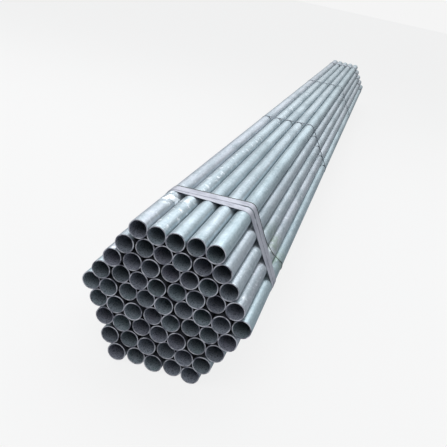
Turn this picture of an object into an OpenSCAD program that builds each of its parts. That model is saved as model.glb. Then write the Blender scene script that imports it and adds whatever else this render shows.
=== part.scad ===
// Hexagonal bundle of galvanised steel tubes, held by wide bands, narrow straps and a wire.
// The tubes run along Y with their front ends at -Y. The bundle lies on the flat
// undersides of its bands, and the origin is the middle of its footprint.

/* [Tubes] */
// Outside diameter of a tube
tube_od = 60.3; // [42.4:0.1:76.1]
// Wall thickness of a tube
tube_wall = 3.2; // [2:0.1:5]
// Length of a tube
tube_length = 6000; // [5000:50:7200]
// Tubes along one side of the hexagon
side_count = 5; // [4:1:6]
// Gap left between neighbouring tubes
tube_gap = 0.3; // [0.1:0.05:0.6]
// Furthest that a tube's end stands out of, or back from, the bundle's end plane
end_stagger = 9; // [0:1:20]

/* [Bands] */
// Width of the strip that a band is wound from
strip_w = 40; // [30:1:60]
// Thickness of the strip
strip_t = 1; // [0.6:0.1:1.5]
// Distance from the front end plane to the inner turn of the front band
front_band_y = 308; // [150:1:600]
// Distance from the rear end plane to the inner turn of the rear band
rear_band_y = 330; // [150:1:600]
// How much further in along the tubes the outer turn lies, on top of the bundle
turn_step = 30; // [10:1:60]
// How far the outer turn runs along the tubes for each millimetre across the bundle
turn_lean = 0.15; // [0:0.01:0.25]
// How far the outer turn comes back along the tubes for each millimetre down the sides
turn_fall = 0.2; // [0:0.01:0.3]
// Clearance between the inner and the outer turn
turn_gap = 0.1; // [0.05:0.05:0.3]
// Length of the outer turn's end, where it lies over itself
strip_lap = 90; // [40:5:120]

/* [Straps] */
// Width of a strap
strap_w = 19; // [12:1:32]
// Thickness of a strap
strap_t = 0.9; // [0.5:0.1:1.2]
// Distance from the front end plane to the first strap
strap_1_y = 1880; // [900:10:2400]
// Distance from the front end plane to the second strap
strap_2_y = 3780; // [2600:10:4300]
// How far a strap runs along the tubes for each millimetre across the bundle
strap_lean = 0.25; // [0:0.01:0.3]
// Length of the two strap ends that lie over each other under the seal
strap_lap = 110; // [60:5:120]
// Length of the seal
seal_length = 34; // [20:1:36]
// Thickness of the seal's sheet
seal_t = 0.8; // [0.5:0.1:1]
// Clearance between the seal and the strap inside it
seal_gap = 0.2; // [0.1:0.05:0.4]

/* [Tie wire] */
// Diameter of the wire
wire_d = 1.8; // [1:0.1:1.8]
// Times that the wire goes round the bundle
wire_turns = 2; // [1:1:3]
// Clearance between one turn of the wire and the next
wire_turn_gap = 0.2; // [0.1:0.1:1]
// Gap between the front band and the wire, on top of the bundle
wire_gap = 5; // [1:1:10]
// How far in along the tubes the wire runs off as it goes down the sides
wire_swing = 240; // [0:10:300]
// Height of the middle stretch of the sides, in which the wire runs off
wire_swing_h = 240; // [120:10:400]

/* [Fit] */
// Clearance between the tubes and whatever is wrapped round them
wrap_gap = 0.2; // [0.1:0.05:0.4]

/* [Hidden] */
$fn = 96;
pitch = tube_od + tube_gap;
layer_count = 2 * side_count - 1;
layer_rise = pitch * sqrt(3) / 2;
side_length = (side_count - 1) * pitch;
wrap_r = tube_od / 2 + wrap_gap;
outer_turn_r = wrap_r + strip_t + turn_gap;
top_rise = (side_count - 1) * layer_rise;
centre_z = top_rise + outer_turn_r + strip_t;
front_y = -tube_length / 2;
tube_count = 3 * side_count * (side_count - 1) + 1;
stagger_step = 37;
front_turn_y = front_band_y + turn_step;
rear_turn_y = tube_length - rear_band_y - strip_w;
lap_side = 2;
lap_along = (side_count % 2) * pitch / 2;
lap_ramp = 1;
bend_steps = 12;
wire_r = wire_d / 2;
wire_sides = 8;
wire_bend_steps = 6;
wire_flat_steps = 4;
zinc = [0.66, 0.70, 0.73];
strip_grey = [0.72, 0.72, 0.75];
strap_grey = [0.48, 0.51, 0.55];
wire_grey = [0.25, 0.27, 0.27];

LAYERS = [for (i = [1:layer_count]) str("tube_layer_", i)];

// Tubes in layer i, counted from 1 at the bottom.
function tubes_in(i) = layer_count - abs(i - side_count);

// Number of tubes in the layers under layer i.
function tubes_below(i) = i <= 1 ? 0 : tubes_in(i - 1) + tubes_below(i - 1);

// Every tube stands out by its own amount, from -end_stagger to +end_stagger.
function stagger(index) =
    end_stagger * (2 * ((index * stagger_step) % tube_count) / (tube_count - 1) - 1);

// Centre of the corner tube k in X and Z, counted from 0 at +X.
function corner(k) = side_length * [cos(60 * k), sin(60 * k)];

// A stop on a route round the bundle: the centre that the route bends about, in X and Z,
// the direction from there to the route, and how many layers of strip lie there.
function stop(centre, angle, layers = 1) = [centre[0], centre[1], angle, layers];

// The stop on side k at a distance along it from its middle.
function side_stop(k, along, layers = 1) =
    let (turn = 60 * k + 30)
    stop([
        top_rise * cos(turn) - along * sin(turn),
        top_rise * sin(turn) + along * cos(turn)
    ], turn, layers);

// The stops round corner k, with its bend cut into steps.
function bend_stops(k, steps) =
    [for (s = [0:steps]) stop(corner(k), 60 * k - 30 + 60 * s / steps)];

// The stops along a strip's end, which lies over its start.
function lap_stops(length) = [
    side_stop(lap_side, lap_along - length / 2 - lap_ramp),
    side_stop(lap_side, lap_along - length / 2, 2),
    side_stop(lap_side, lap_along + length / 2, 2),
    side_stop(lap_side, lap_along + length / 2 + lap_ramp)
];

// A strip's stops once round the bundle. A lap of no length leaves the lap out.
function strip_route(lap_length) = [
    for (k = [0:5])
        each concat(
            bend_stops(k, bend_steps),
            k == lap_side && lap_length > 0 ? lap_stops(lap_length) : []
        )
];

// The wire's stops once round the bundle.
wire_route = [
    for (k = [0:5])
        each concat(
            bend_stops(k, wire_bend_steps),
            [for (s = [1:wire_flat_steps - 1])
                side_stop(k, side_length * (s / wire_flat_steps - 1 / 2))]
        )
];

// The point at radius r from a stop's centre, at depth y.
function at(place, r, y) = [place[0] + r * cos(place[2]), y, place[1] + r * sin(place[2])];

// The depth at a stop of a turn that has depth y in the middle of the top.
function turn_y(place, y, lean, fall) = y + lean * place[0] + fall * (place[1] - top_rise);

// The section of a strip at a stop, from radius r outwards and from depth y to y + w.
function strip_section(place, r, t, y, w) =
    let (outer_r = r + t * place[3])
    [at(place, outer_r, y), at(place, outer_r, y + w), at(place, r, y + w), at(place, r, y)];

// The round section of the wire at a stop, with its middle at depth y.
function wire_section(place, y) = [
    for (s = [0:wire_sides - 1])
        let (turn = 360 * s / wire_sides)
        at(place, wrap_r + wire_r + wire_r * cos(turn), y + wire_r * sin(turn))
];

// How far in the wire has run off at height z above the bundle's centre.
function wire_run(z) =
    let (share = max(0, min(1, 1 / 2 - z / wire_swing_h)))
    wire_swing * (1 - cos(180 * share)) / 2;

module tube() {
    rotate([-90, 0, 0])
        difference() {
            cylinder(d = tube_od, h = tube_length);
            translate([0, 0, -1])
                cylinder(d = tube_od - 2 * tube_wall, h = tube_length + 2);
        }
}

module tube_layer(i) {
    z = centre_z + (i - side_count) * layer_rise;
    color(zinc)
        for (j = [0:tubes_in(i) - 1])
            translate([
                (j - (tubes_in(i) - 1) / 2) * pitch,
                front_y + stagger(tubes_below(i) + j),
                z
            ])
                tube();
}

// Joins a ring of sections into one solid.
module skin(sections) {
    rows = len(sections);
    points = len(sections[0]);
    faces = [
        for (r = [0:rows - 1], s = [0:points - 1])
            let (a = r * points, b = (r + 1) % rows * points, next = (s + 1) % points)
            [a + s, a + next, b + next, b + s]
    ];
    translate([0, front_y, centre_z])
        polyhedron([for (section = sections) each section], faces);
}

// A strip once round the bundle, with its front edge at depth y in the middle of the top.
module loop(r, t, y, w, lean, fall, lap) {
    skin([
        for (p = strip_route(lap))
            strip_section(p, r, t, turn_y(p, y, lean, fall), w)
    ]);
}

module inner_turn(y) {
    color(strip_grey)
        loop(wrap_r, strip_t, y, strip_w, 0, 0, 0);
}

module outer_turn(y) {
    color(strip_grey)
        loop(outer_turn_r, strip_t, y, strip_w, turn_lean, turn_fall, strip_lap);
}

module strap(y) {
    color(strap_grey)
        loop(wrap_r, strap_t, y, strap_w, strap_lean, 0, strap_lap);
}

// A sheet metal sleeve round both layers of the strap, over the dip between two tubes.
module seal(y) {
    inner = [2 * (strap_t + seal_gap), seal_length + 2, strap_w + 2 * seal_gap];
    outer = [inner[0] + 2 * seal_t, seal_length, inner[2] + 2 * seal_t];
    place = side_stop(lap_side, lap_along);
    middle = at(place, wrap_r + strap_t, front_y + y + strap_w / 2 + strap_lean * place[0]);
    color(strap_grey)
        translate(middle + [0, 0, centre_z])
            rotate([90, 0, 0])
                rotate(place[2])
                    rotate([atan(strap_lean * sin(place[2])), 0, 0])
                        difference() {
                            cube(outer, center = true);
                            cube(inner, center = true);
                        }
}

// The wire lies behind whichever turn of the front band reaches further in.
module tie_wire() {
    step = strip_w + wire_gap + wire_r;
    color(wire_grey)
        for (turn = [0:wire_turns - 1])
            skin([
                for (p = wire_route)
                    let (
                        outer_y = turn_y(p, front_turn_y, turn_lean, turn_fall),
                        further = turn * (wire_d + wire_turn_gap) + wire_run(p[1])
                    )
                    wire_section(p, max(front_band_y, outer_y) + step + further)
            ]);
}

for (i = [1:layer_count])
    tube_layer(i);
inner_turn(front_band_y);  // front_band_inner
outer_turn(front_turn_y);  // front_band_outer
inner_turn(rear_turn_y);  // rear_band_inner
outer_turn(rear_turn_y - turn_step);  // rear_band_outer
strap(strap_1_y);  // strap_1
strap(strap_2_y);  // strap_2
seal(strap_1_y);  // seal_1
seal(strap_2_y);  // seal_2
tie_wire();
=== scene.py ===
"""Looks for a hexagonal bundle of galvanised steel tubes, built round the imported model.

The tubes run along Y with their front ends at -Y, and the bundle lies on the floor.
Every size here is in metres, and every place comes from the frame's own nodes.
"""

from __future__ import annotations

import logging
import math
import random
from dataclasses import dataclass, field
from enum import Enum, IntEnum
from typing import Callable, NamedTuple, Sequence, Union

import bpy
import numpy as np
from mathutils import Euler, Matrix, Vector


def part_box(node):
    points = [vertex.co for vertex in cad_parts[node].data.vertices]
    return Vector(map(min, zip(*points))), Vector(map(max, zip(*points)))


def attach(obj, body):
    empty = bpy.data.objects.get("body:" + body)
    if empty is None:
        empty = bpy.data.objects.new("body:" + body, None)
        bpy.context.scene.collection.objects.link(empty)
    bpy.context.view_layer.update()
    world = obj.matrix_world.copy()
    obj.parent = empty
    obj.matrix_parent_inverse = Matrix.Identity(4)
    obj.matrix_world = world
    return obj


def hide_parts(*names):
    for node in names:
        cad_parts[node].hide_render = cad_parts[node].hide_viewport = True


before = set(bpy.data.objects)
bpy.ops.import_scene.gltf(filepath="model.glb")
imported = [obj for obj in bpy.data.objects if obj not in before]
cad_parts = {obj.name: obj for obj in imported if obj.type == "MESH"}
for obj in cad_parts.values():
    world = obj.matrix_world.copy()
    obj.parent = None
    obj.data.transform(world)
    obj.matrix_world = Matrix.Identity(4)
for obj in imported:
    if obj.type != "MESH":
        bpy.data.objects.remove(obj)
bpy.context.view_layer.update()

log = logging.getLogger("tube_bundle")
MM = 0.001
# How far a face's normal leans along the tube, from 0 on the round skin to 1 on the end.
ON_SKIN, ON_BREAK, ON_END = 0.1, 0.3, 0.9
Colour = tuple[float, float, float]
Place = tuple[float, float, float]
Socket = bpy.types.NodeSocket
Value = Union[bpy.types.NodeSocket, float]
Paint = Union[bpy.types.NodeSocket, Colour]
FaceTest = Callable[[bpy.types.MeshPolygon], bool]
EdgeTest = Callable[[Vector, Vector], bool]


class Zone(IntEnum):
    """The parts of a tube's skin, in the order of its material slots."""

    OUTSIDE = 0
    CUT_END = 1
    BORE = 2


class SelectMode(Enum):
    """What is selected in edit mode, as Blender's own three switches."""

    EDGE = (False, True, False)
    FACE = (False, False, True)


class Ramp(NamedTuple):
    """A smooth slope, which turns low..high of a value into to_low..to_high."""

    low: float
    high: float
    to_low: float
    to_high: float


class Pattern(NamedTuple):
    """A noise or a net of cells, with its scale along X, Y and Z and over all."""

    stretch: tuple[float, float, float]
    scale: float
    detail: float = 3.0
    rough: float = 0.5


# ---------------------------------------------------------------- modelling helpers


def deselect_all() -> None:
    """Leaves object mode with nothing selected."""
    if bpy.context.object and bpy.context.object.mode != "OBJECT":
        bpy.ops.object.mode_set(mode="OBJECT")
    bpy.ops.object.select_all(action="DESELECT")


def make_active(piece: bpy.types.Object) -> None:
    """Selects one object alone and makes it the active one."""
    deselect_all()
    piece.select_set(True)
    bpy.context.view_layer.objects.active = piece


def in_place(piece: bpy.types.Object) -> None:
    """Moves an object's place into its mesh, so that the object sits at the origin."""
    make_active(piece)
    bpy.ops.object.transform_apply(location=True, rotation=True, scale=True)


def clear_selection(piece: bpy.types.Object, mode: SelectMode) -> None:
    """Makes an object active with none of its mesh selected, ready for one way of selecting."""
    make_active(piece)
    bpy.context.tool_settings.mesh_select_mode = mode.value
    for part in (piece.data.vertices, piece.data.edges, piece.data.polygons):
        part.foreach_set("select", [False] * len(part))


def select_faces(piece: bpy.types.Object, test: FaceTest) -> None:
    """Selects the faces that pass a test, and enters edit mode in face mode.

    Args:
        piece: The mesh object to select on.
        test: Says whether a face is wanted.
    """
    clear_selection(piece, SelectMode.FACE)
    for face in piece.data.polygons:
        face.select = test(face)
    bpy.ops.object.mode_set(mode="EDIT")


def select_edges(piece: bpy.types.Object, test: EdgeTest) -> None:
    """Selects the edges whose two ends pass a test, and enters edit mode in edge mode.

    Args:
        piece: The mesh object to select on.
        test: Says whether an edge is wanted, from the places of its two ends.
    """
    clear_selection(piece, SelectMode.EDGE)
    for edge in piece.data.edges:
        first, second = (piece.data.vertices[i].co for i in edge.vertices)
        edge.select = test(first, second)
    bpy.ops.object.mode_set(mode="EDIT")


def finish_editing() -> None:
    """Leaves edit mode."""
    bpy.ops.object.mode_set(mode="OBJECT")


# ---------------------------------------------------------------- material helpers


class NodeSheet:
    """A node tree, with short calls for the nodes that the finishes and the sky use."""

    def __init__(self, tree: bpy.types.NodeTree) -> None:
        """Starts from the nodes that the tree has."""
        self.nodes = tree.nodes
        self.links = tree.links

    def add(self, kind: str, **settings: object) -> bpy.types.Node:
        """Adds a node and sets its properties."""
        node = self.nodes.new(kind)
        for name, value in settings.items():
            setattr(node, name, value)
        return node

    def feed(self, socket: Socket, value: object) -> None:
        """Links a socket to an output, or sets it to a plain value."""
        if isinstance(value, Socket):
            self.links.new(value, socket)
        else:
            socket.default_value = value

    def ramp(self, value: Value, slope: Ramp) -> Socket:
        """Maps a value along a slope, and holds it outside the slope's ends."""
        node = self.add("ShaderNodeMapRange", interpolation_type="SMOOTHSTEP")
        self.feed(node.inputs["Value"], value)
        for name, number in zip(("From Min", "From Max", "To Min", "To Max"), slope):
            node.inputs[name].default_value = number
        return node.outputs[0]

    def plus(self, first: Value, second: Value) -> Socket:
        """Adds two values."""
        return self._maths("ADD", first, second)

    def times(self, first: Value, second: Value) -> Socket:
        """Multiplies two values."""
        return self._maths("MULTIPLY", first, second)

    def _maths(self, operation: str, first: Value, second: Value) -> Socket:
        """Adds a sum on two values."""
        node = self.add("ShaderNodeMath", operation=operation)
        self.feed(node.inputs[0], first)
        self.feed(node.inputs[1], second)
        return node.outputs[0]


class Shader(NodeSheet):
    """A material's nodes, which end in one Principled BSDF."""

    def __init__(self, name: str) -> None:
        """Starts an empty material with a Principled BSDF on its output."""
        self.material = bpy.data.materials.new(name)
        self.material.use_nodes = True
        super().__init__(self.material.node_tree)
        self.surface = self.nodes["Principled BSDF"]

    def place(self, stretch: Sequence[float], seed: Value | None = None) -> Socket:
        """Gives Object coordinates, stretched, and shifted by a seed where there is one.

        Args:
            stretch: The scale of the pattern along X, Y and Z.
            seed: A value from 0 to 1 that moves the pattern elsewhere.

        Returns:
            The output that holds the coordinates.
        """
        coords = self.add("ShaderNodeTexCoord").outputs["Object"]
        if seed is not None:
            shift = self.add("ShaderNodeVectorMath", operation="SCALE")
            shift.inputs[0].default_value = (3.1, 17.3, 7.7)
            self.feed(shift.inputs["Scale"], seed)
            moved = self.add("ShaderNodeVectorMath", operation="ADD")
            self.feed(moved.inputs[0], coords)
            self.feed(moved.inputs[1], shift.outputs[0])
            coords = moved.outputs[0]
        mapping = self.add("ShaderNodeMapping")
        self.feed(mapping.inputs["Vector"], coords)
        mapping.inputs["Scale"].default_value = stretch
        return mapping.outputs[0]

    def noise(self, pattern: Pattern, seed: Value | None = None) -> Socket:
        """Adds a noise pattern and returns its value from 0 to 1."""
        node = self.add("ShaderNodeTexNoise")
        self.feed(node.inputs["Vector"], self.place(pattern.stretch, seed))
        node.inputs["Scale"].default_value = pattern.scale
        node.inputs["Detail"].default_value = pattern.detail
        node.inputs["Roughness"].default_value = pattern.rough
        return node.outputs["Fac"]

    def cells(self, pattern: Pattern, seed: Value | None = None) -> Socket:
        """Adds a net of crystal cells and returns each cell's own value."""
        node = self.add("ShaderNodeTexVoronoi", feature="F1")
        self.feed(node.inputs["Vector"], self.place(pattern.stretch, seed))
        node.inputs["Scale"].default_value = pattern.scale
        split = self.add("ShaderNodeSeparateColor")
        self.feed(split.inputs[0], node.outputs["Color"])
        return split.outputs[0]

    def mix(self, share: Value, first: Paint, second: Paint) -> Socket:
        """Mixes two colours."""
        node = self.add("ShaderNodeMix", data_type="RGBA")
        self.feed(node.inputs["Factor"], share)
        for name, value in (("A", first), ("B", second)):
            socket = [s for s in node.inputs if s.name == name and s.type == "RGBA"][0]
            self.feed(socket, value if isinstance(value, Socket) else (*value, 1.0))
        return [s for s in node.outputs if s.type == "RGBA"][0]

    def look(self, name: str) -> tuple[Socket, Socket, Socket]:
        """Splits a colour attribute of the mesh into its three values."""
        node = self.add("ShaderNodeAttribute", attribute_name=name)
        split = self.add("ShaderNodeSeparateColor")
        self.feed(split.inputs[0], node.outputs["Color"])
        return split.outputs[0], split.outputs[1], split.outputs[2]

    def number(self, name: str) -> Socket:
        """Reads one of the mesh's own numbers, such as how deep it lies in the bundle."""
        return self.add("ShaderNodeAttribute", attribute_name=name).outputs["Fac"]

    def near(self, place: Place, reach: float) -> Socket:
        """Gives 1 at a place of the object, falling to 0 at a distance from it."""
        node = self.add("ShaderNodeVectorMath", operation="DISTANCE")
        self.feed(node.inputs[0], self.place((1.0, 1.0, 1.0)))
        node.inputs[1].default_value = place
        return self.ramp(node.outputs["Value"], Ramp(reach * 0.35, reach, 1.0, 0.0))

    def bump(self, height: Socket, strength: float, distance: float) -> None:
        """Sets a bump on the surface."""
        node = self.add("ShaderNodeBump")
        self.feed(node.inputs["Height"], height)
        node.inputs["Strength"].default_value = strength
        node.inputs["Distance"].default_value = distance
        self.feed(self.surface.inputs["Normal"], node.outputs[0])


# ---------------------------------------------------------------- finishes


@dataclass(frozen=True)
class TubeZinc:
    """The galvanised outside of a tube: spangle, streaks, white bloom, and dirt with painted
    shade in the dips.
    """

    base: Colour = (0.41, 0.48, 0.53)
    dark: Colour = (0.19, 0.25, 0.28)
    warm: Colour = (0.49, 0.47, 0.53)
    cool: Colour = (0.37, 0.48, 0.52)
    bloom: Colour = (0.80, 0.84, 0.88)
    # These two colours are painted shade over some dirt: the first greys the dips between
    # tubes, the second, near black, paints the shadow in the gaps.
    grime_and_shade: Colour = (0.17, 0.21, 0.235)
    dust_and_shadow: Colour = (0.020, 0.022, 0.028)
    moss: Colour = (0.16, 0.24, 0.14)
    weld: Colour = (0.34, 0.37, 0.40)
    tint_share: float = 0.7
    metallic: float = 0.62
    bump_strength: float = 0.06
    bump_height: float = 0.5 * MM

    patches: Pattern = Pattern((1.0, 0.25, 1.0), 14.0, 4.0, 0.6)
    spots: Pattern = Pattern((1.0, 0.6, 1.0), 60.0, 3.0, 0.65)
    spangle: Pattern = Pattern((1.0, 0.55, 1.0), 150.0)
    streaks: Pattern = Pattern((1.0, 0.03, 1.0), 160.0, 4.0)
    blots: Pattern = Pattern((1.0, 0.8, 1.0), 42.0, 3.0, 0.55)

    patch_darkness: Ramp = Ramp(0.4, 0.66, 0.0, 0.6)
    streak_darkness: Ramp = Ramp(0.3, 0.75, 0.35, 0.0)
    spangle_bloom: Ramp = Ramp(0.0, 1.0, 0.0, 0.15)
    spot_bloom: Ramp = Ramp(0.54, 0.72, 0.0, 0.9)
    tube_bloom: Ramp = Ramp(0.3, 1.0, 0.1, 1.0)
    weld_line: Ramp = Ramp(0.9982, 0.9998, 0.0, 0.6)
    # The next two slopes set by depth where the painted shade in the dips and the painted
    # shadow in the gaps begin and end.
    grime_and_shade_by_depth: Ramp = Ramp(0.55, 1.0, 0.0, 0.85)
    dust_and_shadow_by_depth: Ramp = Ramp(1.0, 1.5, 0.0, 1.0)
    spangle_roughness: Ramp = Ramp(0.0, 1.0, 0.31, 0.35)
    patch_roughness: Ramp = Ramp(0.3, 0.7, 0.0, 0.1)
    depth_roughness: Ramp = Ramp(0.6, 1.0, 0.0, 0.4)

    rust_at: Place = (-0.115, -2.745, 0.475)
    rust_reach: float = 0.085
    rust_rim: Ramp = Ramp(0.42, 0.50, 0.0, 0.8)
    rust_heart: Ramp = Ramp(0.49, 0.54, 0.0, 1.0)
    moss_at: Place = (0.225, -2.50, 0.30)
    moss_reach: float = 0.13
    moss_film: Ramp = Ramp(0.35, 0.65, 0.05, 0.5)

    def material(self) -> bpy.types.Material:
        """Builds the material."""
        s = Shader("tube_zinc")
        tone, warmth, seed = s.look("tube_look")
        patch = s.noise(self.patches, seed)
        cell = s.cells(self.spangle, seed)
        depth = s.number("depth_in_bundle")
        colour = s.mix(self.tint_share, self.base, s.mix(warmth, self.cool, self.warm))
        colour = s.mix(s.ramp(patch, self.patch_darkness), colour, self.dark)
        streak = s.noise(self.streaks, seed)
        colour = s.mix(s.ramp(streak, self.streak_darkness), colour, self.dark)
        colour = s.mix(s.ramp(cell, self.spangle_bloom), colour, self.bloom)
        spot = s.ramp(s.noise(self.spots, seed), self.spot_bloom)
        colour = s.mix(s.times(spot, s.ramp(tone, self.tube_bloom)), colour, self.bloom)
        colour = self._local_stains(s, colour)
        weld = s.ramp(s.number("round_from_weld"), self.weld_line)
        colour = s.mix(weld, colour, self.weld)
        # Painted shade, partly dirt: darkens the skin by its depth in the bundle, to grey in
        # the dips and near black in the gaps between tubes.
        colour = s.mix(s.ramp(depth, self.grime_and_shade_by_depth), colour, self.grime_and_shade)
        colour = s.mix(s.ramp(depth, self.dust_and_shadow_by_depth), colour, self.dust_and_shadow)
        s.feed(s.surface.inputs["Base Color"], colour)
        s.surface.inputs["Metallic"].default_value = self.metallic
        rough = s.ramp(cell, self.spangle_roughness)
        rough = s.plus(rough, s.ramp(patch, self.patch_roughness))
        rough = s.plus(rough, s.ramp(depth, self.depth_roughness))
        s.feed(s.surface.inputs["Roughness"], rough)
        s.bump(patch, self.bump_strength, self.bump_height)
        return s.material

    def _local_stains(self, s: Shader, colour: Socket) -> Socket:
        """Adds the white rust beside the front band and the green film round the wire.

        Args:
            s: The shader that is being built.
            colour: The zinc's colour so far.

        Returns:
            The colour with both stains.
        """
        blot = s.noise(self.blots)
        here = s.near(self.rust_at, self.rust_reach)
        colour = s.mix(s.times(here, s.ramp(blot, self.rust_rim)), colour, self.dark)
        colour = s.mix(s.times(here, s.ramp(blot, self.rust_heart)), colour, self.bloom)
        film = s.times(s.near(self.moss_at, self.moss_reach), s.ramp(blot, self.moss_film))
        return s.mix(film, colour, self.moss)


@dataclass(frozen=True)
class CutEnd:
    """The sawn end of a tube: bare steel with faint saw marks, dulled in places."""

    bright: Colour = (0.66, 0.66, 0.72)
    dull: Colour = (0.13, 0.13, 0.17)
    metallic: float = 0.3
    bump_strength: float = 0.3
    bump_height: float = 0.3 * MM
    saw_marks: Pattern = Pattern((1.0, 1.0, 9.0), 180.0)
    patches: Pattern = Pattern((1.0, 1.0, 1.0), 45.0, 2.0)
    patch_dullness: Ramp = Ramp(0.35, 0.68, 0.0, 1.0)
    saw_roughness: Ramp = Ramp(0.3, 0.7, 0.42, 0.6)

    def material(self) -> bpy.types.Material:
        """Builds the material."""
        s = Shader("cut_end")
        _, _, seed = s.look("tube_look")
        marks = s.noise(self.saw_marks, seed)
        dullness = s.ramp(s.noise(self.patches, seed), self.patch_dullness)
        s.feed(s.surface.inputs["Base Color"], s.mix(dullness, self.bright, self.dull))
        s.surface.inputs["Metallic"].default_value = self.metallic
        s.feed(s.surface.inputs["Roughness"], s.ramp(marks, self.saw_roughness))
        s.bump(marks, self.bump_strength, self.bump_height)
        return s.material


@dataclass(frozen=True)
class BoreSkin:
    """The inside of a tube: duller and darker than the outside, the darkness partly painted
    shade for the dim bore, mottled, and tinted tube by tube.
    """

    # The bore's colours are held dark partly as painted shade, standing in for the light that
    # fades inside the bore.
    zinc: Colour = (0.30, 0.335, 0.39)
    violet: Colour = (0.27, 0.25, 0.33)
    green: Colour = (0.20, 0.28, 0.29)
    dark: Colour = (0.02, 0.024, 0.032)
    metallic: float = 0.2
    roughness: float = 0.6
    bump_strength: float = 0.3
    bump_height: float = 0.8 * MM
    patches: Pattern = Pattern((1.0, 0.3, 1.0), 40.0, 4.0, 0.6)
    flecks: Pattern = Pattern((1.0, 0.6, 1.0), 260.0, 2.0, 0.6)
    patch_tint: Ramp = Ramp(0.3, 0.75, 0.2, 0.8)
    tube_darkness: Ramp = Ramp(0.0, 1.0, 0.3, 0.0)
    fleck_darkness: Ramp = Ramp(0.5, 0.62, 0.0, 0.55)

    def material(self) -> bpy.types.Material:
        """Builds the material."""
        s = Shader("bore_skin")
        tone, warmth, seed = s.look("tube_look")
        patch = s.noise(self.patches, seed)
        tint = s.mix(warmth, self.green, self.violet)
        colour = s.mix(s.ramp(patch, self.patch_tint), self.zinc, tint)
        colour = s.mix(s.ramp(tone, self.tube_darkness), colour, self.dark)
        fleck = s.ramp(s.noise(self.flecks, seed), self.fleck_darkness)
        s.feed(s.surface.inputs["Base Color"], s.mix(fleck, colour, self.dark))
        s.surface.inputs["Metallic"].default_value = self.metallic
        s.surface.inputs["Roughness"].default_value = self.roughness
        s.bump(patch, self.bump_strength, self.bump_height)
        return s.material


@dataclass(frozen=True)
class SheetSteel:
    """Rolled strip, for the bands, straps and seals: fine rolling lines and dull patches."""

    name: str
    base: Colour
    dull: Colour
    metallic: float = 0.6
    bump_strength: float = 0.15
    bump_height: float = 0.3 * MM
    patches: Pattern = Pattern((1.0, 1.0, 1.0), 18.0, 4.0, 0.6)
    rolling_lines: Pattern = Pattern((0.3, 6.0, 0.3), 120.0)
    patch_dullness: Ramp = Ramp(0.35, 0.7, 0.0, 0.8)
    line_dullness: Ramp = Ramp(0.35, 0.7, 0.0, 0.25)
    patch_roughness: Ramp = Ramp(0.3, 0.7, 0.38, 0.53)

    def material(self) -> bpy.types.Material:
        """Builds the material."""
        s = Shader(self.name)
        patch = s.noise(self.patches)
        line = s.noise(self.rolling_lines)
        colour = s.mix(s.ramp(patch, self.patch_dullness), self.base, self.dull)
        colour = s.mix(s.ramp(line, self.line_dullness), colour, self.dull)
        s.feed(s.surface.inputs["Base Color"], colour)
        s.surface.inputs["Metallic"].default_value = self.metallic
        s.feed(s.surface.inputs["Roughness"], s.ramp(patch, self.patch_roughness))
        s.bump(line, self.bump_strength, self.bump_height)
        return s.material


@dataclass(frozen=True)
class FloorPaint:
    """The plain pale floor, lit from within so that only soft contact shadows show on it."""

    glow: Colour = (0.83, 0.83, 0.83)
    paint: Colour = (0.075, 0.075, 0.075)
    bounce: Colour = (0.36, 0.38, 0.40)

    def material(self) -> bpy.types.Material:
        """Builds the material."""
        s = Shader("floor_paint")
        surface = s.surface
        s.feed(surface.inputs["Roughness"], 1.0)
        s.feed(surface.inputs["Specular IOR Level"], 0.0)
        seen = s.add("ShaderNodeLightPath").outputs["Is Camera Ray"]
        s.feed(surface.inputs["Base Color"], s.mix(seen, self.bounce, self.paint))
        s.feed(surface.inputs["Emission Color"], (*self.glow, 1.0))
        s.feed(surface.inputs["Emission Strength"], seen)
        return s.material


# ---------------------------------------------------------------- tubes


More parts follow.
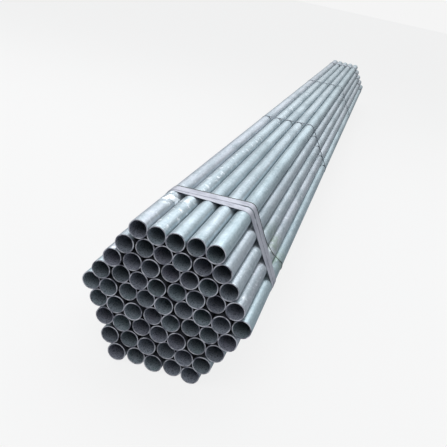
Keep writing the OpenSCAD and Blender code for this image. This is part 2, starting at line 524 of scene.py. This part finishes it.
@dataclass
class Tube:
    """One round tube along Y, with its front end at the origin."""

    outer_r: float
    wall: float
    length: float
    sides: int = 72
    edge_r: float = 0.5 * MM
    bead_height: float = 0.6 * MM
    smooth_angle: float = 40.0
    materials: list[bpy.types.Material] = field(default_factory=list)

    @property
    def middle_r(self) -> float:
        """The radius halfway through the wall, inside which the bore's skin lies."""
        return self.outer_r - self.wall / 2

    def build(self) -> bpy.types.Object:
        """Models the tube from a cylinder: its ends are inset, opened and bridged.

        Returns:
            The tube, to be copied.
        """
        deselect_all()
        bpy.ops.mesh.primitive_cylinder_add(
            vertices=self.sides, radius=self.outer_r, depth=self.length,
            location=(0, self.length / 2, 0), rotation=(math.pi / 2, 0, 0),
        )
        tube = bpy.context.object
        in_place(tube)
        self._open_bore(tube)
        self._round_edges(tube)
        self._raise_bead(tube)
        self._mark_weld(tube)
        self._dress(tube)
        return tube

    def _open_bore(self, tube: bpy.types.Object) -> None:
        """Insets the end faces by the wall, removes them and joins the two openings."""
        select_faces(tube, lambda face: abs(face.normal.y) > ON_END)
        bpy.ops.mesh.inset(thickness=self.wall, depth=0)
        bpy.ops.mesh.delete(type="FACE")
        finish_editing()

        def on_bore(first: Vector, second: Vector) -> bool:
            """Tells whether an edge runs round the rim of the bore."""
            flat = abs(first.y - second.y) < MM
            return flat and all(math.hypot(v.x, v.z) < self.middle_r for v in (first, second))

        select_edges(tube, on_bore)
        bpy.ops.mesh.bridge_edge_loops()
        bpy.ops.mesh.select_all(action="SELECT")
        bpy.ops.mesh.normals_make_consistent(inside=False)
        finish_editing()

    def _round_edges(self, tube: bpy.types.Object) -> None:
        """Breaks the sharp edges of both ends, as a deburring brush leaves them."""
        select_edges(
            tube,
            lambda first, second: abs(first.y - second.y) < MM
            and abs(math.hypot(first.x, first.z) - math.hypot(second.x, second.z)) < MM,
        )
        bpy.ops.mesh.bevel(offset=self.edge_r, segments=2, profile=0.5, affect="EDGES")
        finish_editing()

    def _raise_bead(self, tube: bpy.types.Object) -> None:
        """Raises the weld's bead along the bottom of the bore."""
        half_side = math.pi / self.sides

        def at_weld(face: bpy.types.MeshPolygon) -> bool:
            """Tells whether a face is the bore's strip along the weld."""
            reach = math.hypot(face.center.x, face.center.z)
            turn = math.atan2(face.center.x, -face.center.z)
            return (
                abs(face.normal.y) < ON_SKIN
                and reach < self.middle_r
                and 0 < turn < 2 * half_side
            )

        select_faces(tube, at_weld)
        bpy.ops.mesh.inset(thickness=self.edge_r / 2, depth=0)
        bpy.ops.transform.shrink_fatten(value=self.bead_height)
        finish_editing()

    def _mark_weld(self, tube: bpy.types.Object) -> None:
        """Notes how far round from the weld each point lies: 1 on it, -1 across from it."""
        turns = [math.atan2(v.co.x, -v.co.z) - math.pi / self.sides for v in tube.data.vertices]
        marks = tube.data.attributes.new("round_from_weld", "FLOAT", "POINT")
        marks.data.foreach_set("value", [math.cos(turn) for turn in turns])

    def _dress(self, tube: bpy.types.Object) -> None:
        """Gives each zone of the skin its own material and shades the round faces smooth."""
        for material in self.materials:
            tube.data.materials.append(material)
        for face in tube.data.polygons:
            at_end = min(face.center.y, self.length - face.center.y) < self.edge_r
            if at_end and abs(face.normal.y) > ON_BREAK:
                face.material_index = Zone.CUT_END
            elif math.hypot(face.center.x, face.center.z) < self.middle_r:
                face.material_index = Zone.BORE
            else:
                face.material_index = Zone.OUTSIDE
        make_active(tube)
        bpy.ops.object.shade_smooth_by_angle(angle=math.radians(self.smooth_angle))


@dataclass(frozen=True)
class Hexagon:
    """The six-sided outline that the outermost tubes touch from inside."""

    centre: tuple[float, float]
    apothem: float
    tube_r: float

    @classmethod
    def round_layers(cls, nodes: Sequence[str]) -> Hexagon:
        """Measures the outline from the layers of the frame, lowest first."""
        low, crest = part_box(nodes[0])
        tube_r = (crest.z - low.z) / 2
        _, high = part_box(nodes[-1])
        middle = ((low.x + high.x) / 2, (low.z + high.z) / 2)
        return cls(middle, (high.z - low.z) / 2, tube_r)

    def depth(self, points: np.ndarray) -> np.ndarray:
        """Tells how deep points lie under the outline, in tube radii.

        Args:
            points: Places as rows of X, Y and Z.

        Returns:
            One depth for each place: 0 on a crest, and 1 where two outer tubes touch.
        """
        turns = np.radians(30 + 60 * np.arange(6))
        x, z = points[:, 0] - self.centre[0], points[:, 2] - self.centre[1]
        reach = (np.outer(x, np.cos(turns)) + np.outer(z, np.sin(turns))).max(axis=1)
        return (self.apothem - reach) / self.tube_r


@dataclass
class TubeLayer:
    """One level layer of tubes, in the places that the frame's node gives."""

    node: str
    tube: bpy.types.Object
    hexagon: Hexagon
    dice: random.Random

    def _places(self) -> list[Vector]:
        """Finds the front end's middle of each tube of the layer.

        Returns:
            The places, from left to right.
        """
        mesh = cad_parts[self.node].data
        points = np.empty(len(mesh.vertices) * 3)
        mesh.vertices.foreach_get("co", points)
        points = points.reshape(-1, 3)
        low, high = points.min(0), points.max(0)
        width, height = high[0] - low[0], high[2] - low[2]
        count = round(width / height)
        pitch = (width - height) / (count - 1)
        places = []
        for i in range(count):
            x = low[0] + height / 2 + i * pitch
            own = points[abs(points[:, 0] - x) < height / 4]
            places.append(Vector((x, own[:, 1].min(), (low[2] + high[2]) / 2)))
        return places

    def _copy(self, place: Vector) -> bpy.types.Object:
        """Copies the tube to a place, turned at random, with a look of its own."""
        copy = self.tube.copy()
        copy.data = self.tube.data.copy()
        turn = self.dice.uniform(0, 2 * math.pi)
        copy.data.transform(Matrix.Translation(place) @ Matrix.Rotation(turn, 4, "Y"))
        look = copy.data.color_attributes.new("tube_look", "FLOAT_COLOR", "POINT")
        own = (self.dice.random(), self.dice.random(), self.dice.random(), 1.0)
        look.data.foreach_set("color", own * len(copy.data.vertices))
        bpy.context.scene.collection.objects.link(copy)
        return copy

    def _mark_depth(self, mesh: bpy.types.Mesh) -> None:
        """Notes how deep each point lies in the bundle, for the dirt and painted shade in the
        dips and gaps.
        """
        points = np.empty(len(mesh.vertices) * 3)
        mesh.vertices.foreach_get("co", points)
        depth = self.hexagon.depth(points.reshape(-1, 3))
        marks = mesh.attributes.new("depth_in_bundle", "FLOAT", "POINT")
        marks.data.foreach_set("value", depth)

    def build(self) -> bpy.types.Object:
        """Copies the tube to every place of the layer and joins the copies.

        Returns:
            The layer's piece, which stands for the frame's node.
        """
        copies = [self._copy(place) for place in self._places()]
        bpy.context.view_layer.update()
        deselect_all()
        for copy in copies:
            copy.select_set(True)
        bpy.context.view_layer.objects.active = copies[0]
        bpy.ops.object.join()
        layer = bpy.context.object
        self._mark_depth(layer.data)
        layer.name = self.node.replace("tube_layer", "tubes_in_layer")
        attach(layer, "root")
        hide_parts(self.node)
        log.info("%s: %d tubes", layer.name, len(copies))
        return layer


@dataclass
class TubeBundle:
    """All the tubes, in layers that are as long and as thick as the frame's."""

    wall: float = 3.2 * MM
    seed: int = 11

    def build(self) -> None:
        """Models one tube and fills every layer with copies of it."""
        nodes = sorted(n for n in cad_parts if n.startswith("tube_layer_"))
        low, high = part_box(nodes[0])
        outer_r = (high.z - low.z) / 2
        layer_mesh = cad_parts[nodes[0]].data
        length = self._length(layer_mesh, outer_r)
        materials = [finish().material() for finish in (TubeZinc, CutEnd, BoreSkin)]
        tube = Tube(outer_r, self.wall, length, materials=materials).build()
        dice = random.Random(self.seed)
        hexagon = Hexagon.round_layers(nodes)
        for node in nodes:
            TubeLayer(node, tube, hexagon, dice).build()
        bpy.data.objects.remove(tube)

    def _length(self, mesh: bpy.types.Mesh, outer_r: float) -> float:
        """Measures the leftmost tube of a layer along Y."""
        left = min(v.co.x for v in mesh.vertices)
        own = [v.co.y for v in mesh.vertices if v.co.x < left + 2 * outer_r]
        return max(own) - min(own)


# ---------------------------------------------------------------- wraps


@dataclass
class Wraps:
    """The bands, straps, seals and wire, whose shapes are the frame's own."""

    band: SheetSteel = SheetSteel("band_steel", (0.50, 0.50, 0.56), (0.27, 0.28, 0.33))
    strap: SheetSteel = SheetSteel("strap_steel", (0.13, 0.16, 0.20), (0.06, 0.075, 0.10))
    wire: SheetSteel = SheetSteel("wire_steel", (0.10, 0.11, 0.10), (0.05, 0.06, 0.05))

    def build(self) -> None:
        """Dresses each wrap's node in its finish."""
        band, strap, wire = (f.material() for f in (self.band, self.strap, self.wire))
        worn = {"band": band, "strap": strap, "seal": strap, "wire": wire}
        for name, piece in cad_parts.items():
            for kind, material in worn.items():
                if kind in name:
                    self._dress(piece, material)

    def _dress(self, piece: bpy.types.Object, material: bpy.types.Material) -> None:
        """Puts one material on a node."""
        piece.data.materials.clear()
        piece.data.materials.append(material)
        log.info("%s: %s", piece.name, material.name)


# ---------------------------------------------------------------- studio


@dataclass(frozen=True)
class Sky:
    """Even light from all round, with a glow low behind the bundle, and a plain backdrop."""

    backdrop: Colour = (0.913, 0.913, 0.913)
    colour: Colour = (0.92, 0.97, 1.0)
    by_height: Ramp = Ramp(-0.02, 0.75, 0.42, 0.7)
    front_to_back: Ramp = Ramp(-0.7, 0.5, 0.55, 1.0)
    glow_from: Place = (0.0, 0.85, 0.5)
    glow_spread: tuple[float, float] = (3.0, 30.0)
    glow_power: float = 1.15

    def build(self) -> None:
        """Makes the world, in which the camera sees the backdrop and the rest the sky."""
        world = bpy.data.worlds.new("studio_world")
        world.use_nodes = True
        s = NodeSheet(world.node_tree)
        sky = s.nodes["Background"]
        sky.inputs["Color"].default_value = (*self.colour, 1.0)
        s.feed(sky.inputs["Strength"], self._strength(s))
        plain = s.add("ShaderNodeBackground")
        plain.inputs["Color"].default_value = (*self.backdrop, 1.0)
        both = s.add("ShaderNodeMixShader")
        s.feed(both.inputs[0], s.add("ShaderNodeLightPath").outputs["Is Camera Ray"])
        s.feed(both.inputs[1], sky.outputs[0])
        s.feed(both.inputs[2], plain.outputs[0])
        s.feed(s.nodes["World Output"].inputs["Surface"], both.outputs[0])
        bpy.context.scene.world = world

    def _strength(self, s: NodeSheet) -> Socket:
        """Works out how bright the sky is in each direction.

        Args:
            s: The world's nodes.

        Returns:
            The output that holds the brightness.
        """
        way = s.add("ShaderNodeTexCoord").outputs["Generated"]
        split = s.add("ShaderNodeSeparateXYZ")
        s.feed(split.inputs[0], way)
        towards = s.add("ShaderNodeVectorMath", operation="DOT_PRODUCT")
        s.feed(towards.inputs[0], way)
        towards.inputs[1].default_value = Vector(self.glow_from).normalized()
        level = s.ramp(split.outputs["Z"], self.by_height)
        even = s.times(level, s.ramp(split.outputs["Y"], self.front_to_back))
        narrow, wide = (math.cos(math.radians(a)) for a in self.glow_spread)
        glow = s.ramp(towards.outputs["Value"], Ramp(wide, narrow, 0.0, self.glow_power))
        return s.plus(even, glow)


@dataclass(frozen=True)
class SoftBox:
    """A soft lamp: a lit rectangle, hung at a place and aimed at a target."""

    name: str
    place: Place
    target: Place
    size: tuple[float, float]
    power: float

    def build(self) -> None:
        """Hangs the lamp."""
        deselect_all()
        bpy.ops.object.light_add(type="AREA", location=self.place)
        lamp = bpy.context.object
        lamp.name = self.name
        lamp.data.shape = "RECTANGLE"
        lamp.data.size, lamp.data.size_y = self.size
        lamp.data.energy = self.power
        aim = Vector(self.target) - Vector(self.place)
        lamp.rotation_euler = aim.to_track_quat("-Z", "Y").to_euler()


@dataclass(frozen=True)
class Viewpoint:
    """Where the camera stands and how it is turned, in metres and degrees."""

    eye: Place = (0.411, -4.496, 1.175)
    azimuth: float = 10.893
    tilt: float = 22.33
    roll: float = 12.339
    lens: float = 48.29
    sensor: float = 36.0
    reach: float = 240.0

    def build(self) -> None:
        """Stands the camera, turned by its azimuth, tilt and roll."""
        deselect_all()
        bpy.ops.object.camera_add(location=self.eye)
        camera = bpy.context.object
        camera.name = "camera"
        camera.data.lens = self.lens
        camera.data.sensor_width = self.sensor
        camera.data.clip_end = self.reach
        turn, tilt, roll = (math.radians(a) for a in (self.azimuth, self.tilt, self.roll))
        level = Euler((math.pi / 2 - tilt, 0.0, turn)).to_matrix()
        camera.rotation_euler = (level @ Matrix.Rotation(roll, 3, "Z")).to_euler()
        bpy.context.scene.camera = camera


@dataclass
class Studio:
    """A pale floor, soft light from above and a camera low over the front ends."""

    floor_size: float = 120.0
    sky: Sky = Sky()
    key_light: SoftBox = SoftBox(
        "key_light", (-0.9, -0.8, 4.0), (0.0, -0.8, 0.3), (2.5, 9.0), 190.0
    )
    front_light: SoftBox = SoftBox(
        "front_light", (-0.2, -5.8, 4.6), (0.0, -3.0, 0.2), (4.5, 3.5), 125.0
    )
    viewpoint: Viewpoint = Viewpoint()

    def build(self) -> None:
        """Makes the floor, the world, the lights and the camera."""
        self._floor()
        for item in (self.sky, self.key_light, self.front_light, self.viewpoint):
            item.build()

    def _floor(self) -> None:
        """Lays the floor under the bundle."""
        deselect_all()
        bpy.ops.mesh.primitive_plane_add(size=self.floor_size)
        floor = bpy.context.object
        floor.name = "floor"
        floor.data.materials.append(FloorPaint().material())


def main() -> None:
    """Builds the bundle and the studio round it."""
    logging.basicConfig(level=logging.INFO, format="%(name)s %(message)s")
    bpy.context.scene.view_settings.view_transform = "Standard"
    Studio().build()
    TubeBundle().build()
    Wraps().build()


if __name__ == "__main__":
    main()
